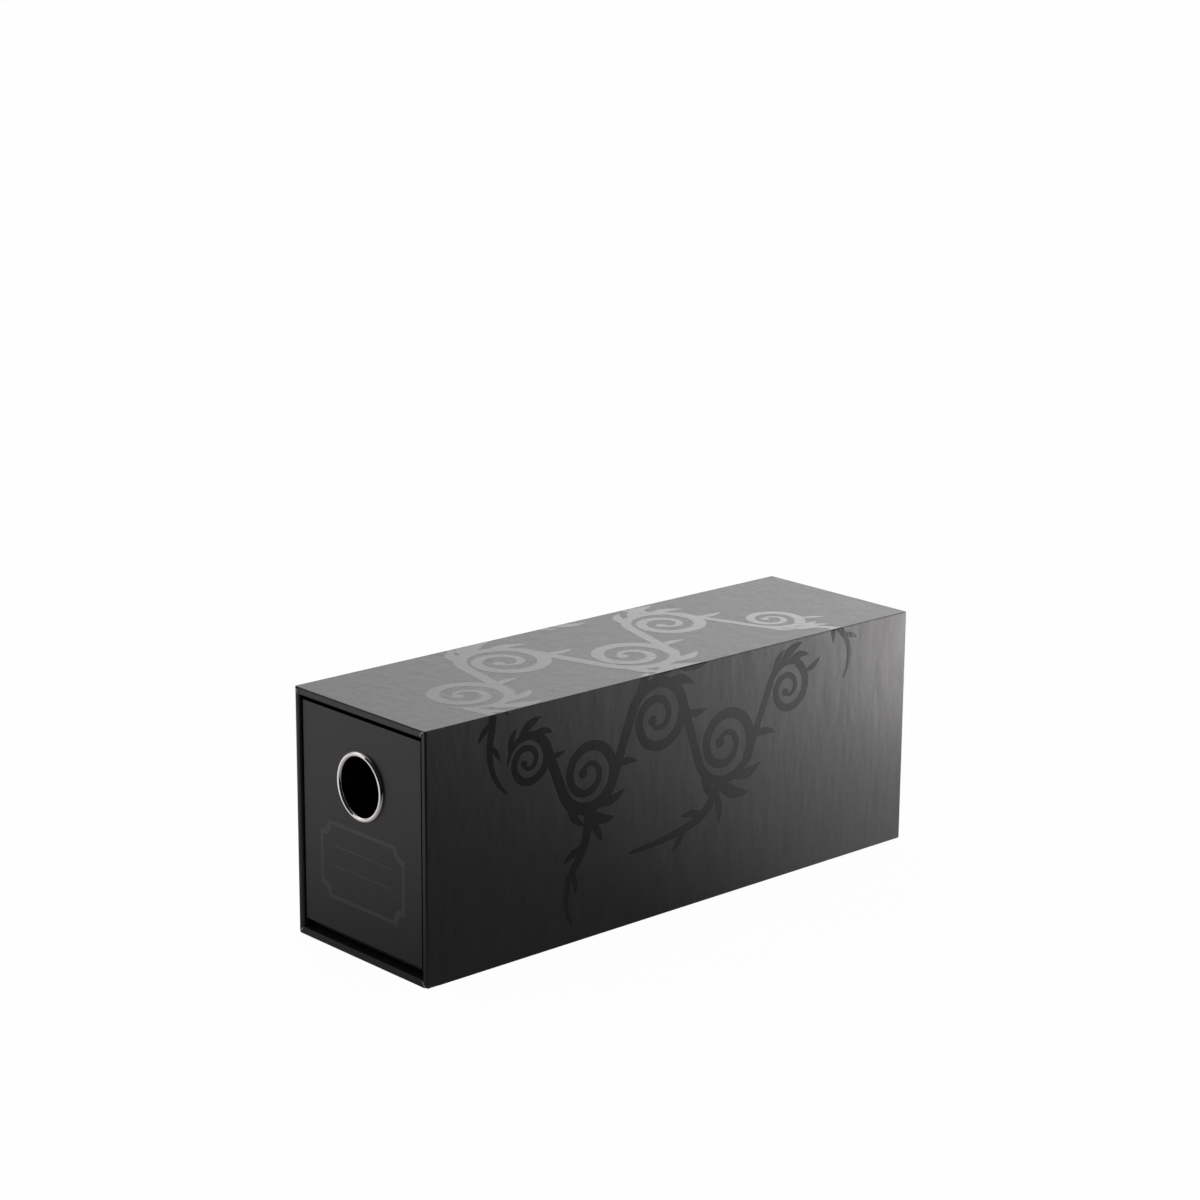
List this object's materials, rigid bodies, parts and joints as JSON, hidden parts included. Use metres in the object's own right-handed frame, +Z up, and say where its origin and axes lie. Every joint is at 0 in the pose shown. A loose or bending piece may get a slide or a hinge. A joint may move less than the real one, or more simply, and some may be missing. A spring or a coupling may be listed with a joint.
{
  "type": "card storage drawer",
  "caption": "Upright rectangular slipcase of paper-wrapped board with a pull-out drawer for cards on edge and a metal finger ring in the drawer's front.",
  "frame": {"origin": "centre of the base, under the middle of the whole object with its ring", "axes": "+Z up; the mouth of the case and the finger ring face -Y, the way the drawer slides out; +X is to the right as seen from the front"},
  "size_m": [0.083, 0.2726, 0.1055],
  "materials": {
    "greyboard": "solid grey board, cut edges",
    "laminated_paper": "black print under matt film, with gloss varnish in places",
    "black_paper": "uncoated black paper",
    "nickel": "polished nickel plate"
  },
  "bodies": {
    "case": {"case_top_board": "greyboard", "case_bottom_board": "greyboard", "case_left_board": "greyboard", "case_right_board": "greyboard", "case_back_board": "greyboard", "case_wrap": "laminated_paper", "case_base_sheet": "black_paper", "case_back_sheet": "laminated_paper", "case_lining": "black_paper"},
    "drawer": {"tray_bottom_board": "greyboard", "tray_front_board": "greyboard", "tray_back_board": "greyboard", "tray_left_board": "greyboard", "tray_right_board": "greyboard", "tray_wrap": "black_paper", "tray_base_sheet": "black_paper", "tray_lining": "black_paper", "facing_board": "greyboard", "facing_wrap": "laminated_paper", "finger_ring": "nickel", "finger_ring_clinch": "nickel"}
  },
  "joints": [
    {"name": "drawer_slide", "type": "slide", "parent": "case", "child": "drawer", "axis": [0, -1, 0], "range_m": [0, 0.25]}
  ]
}
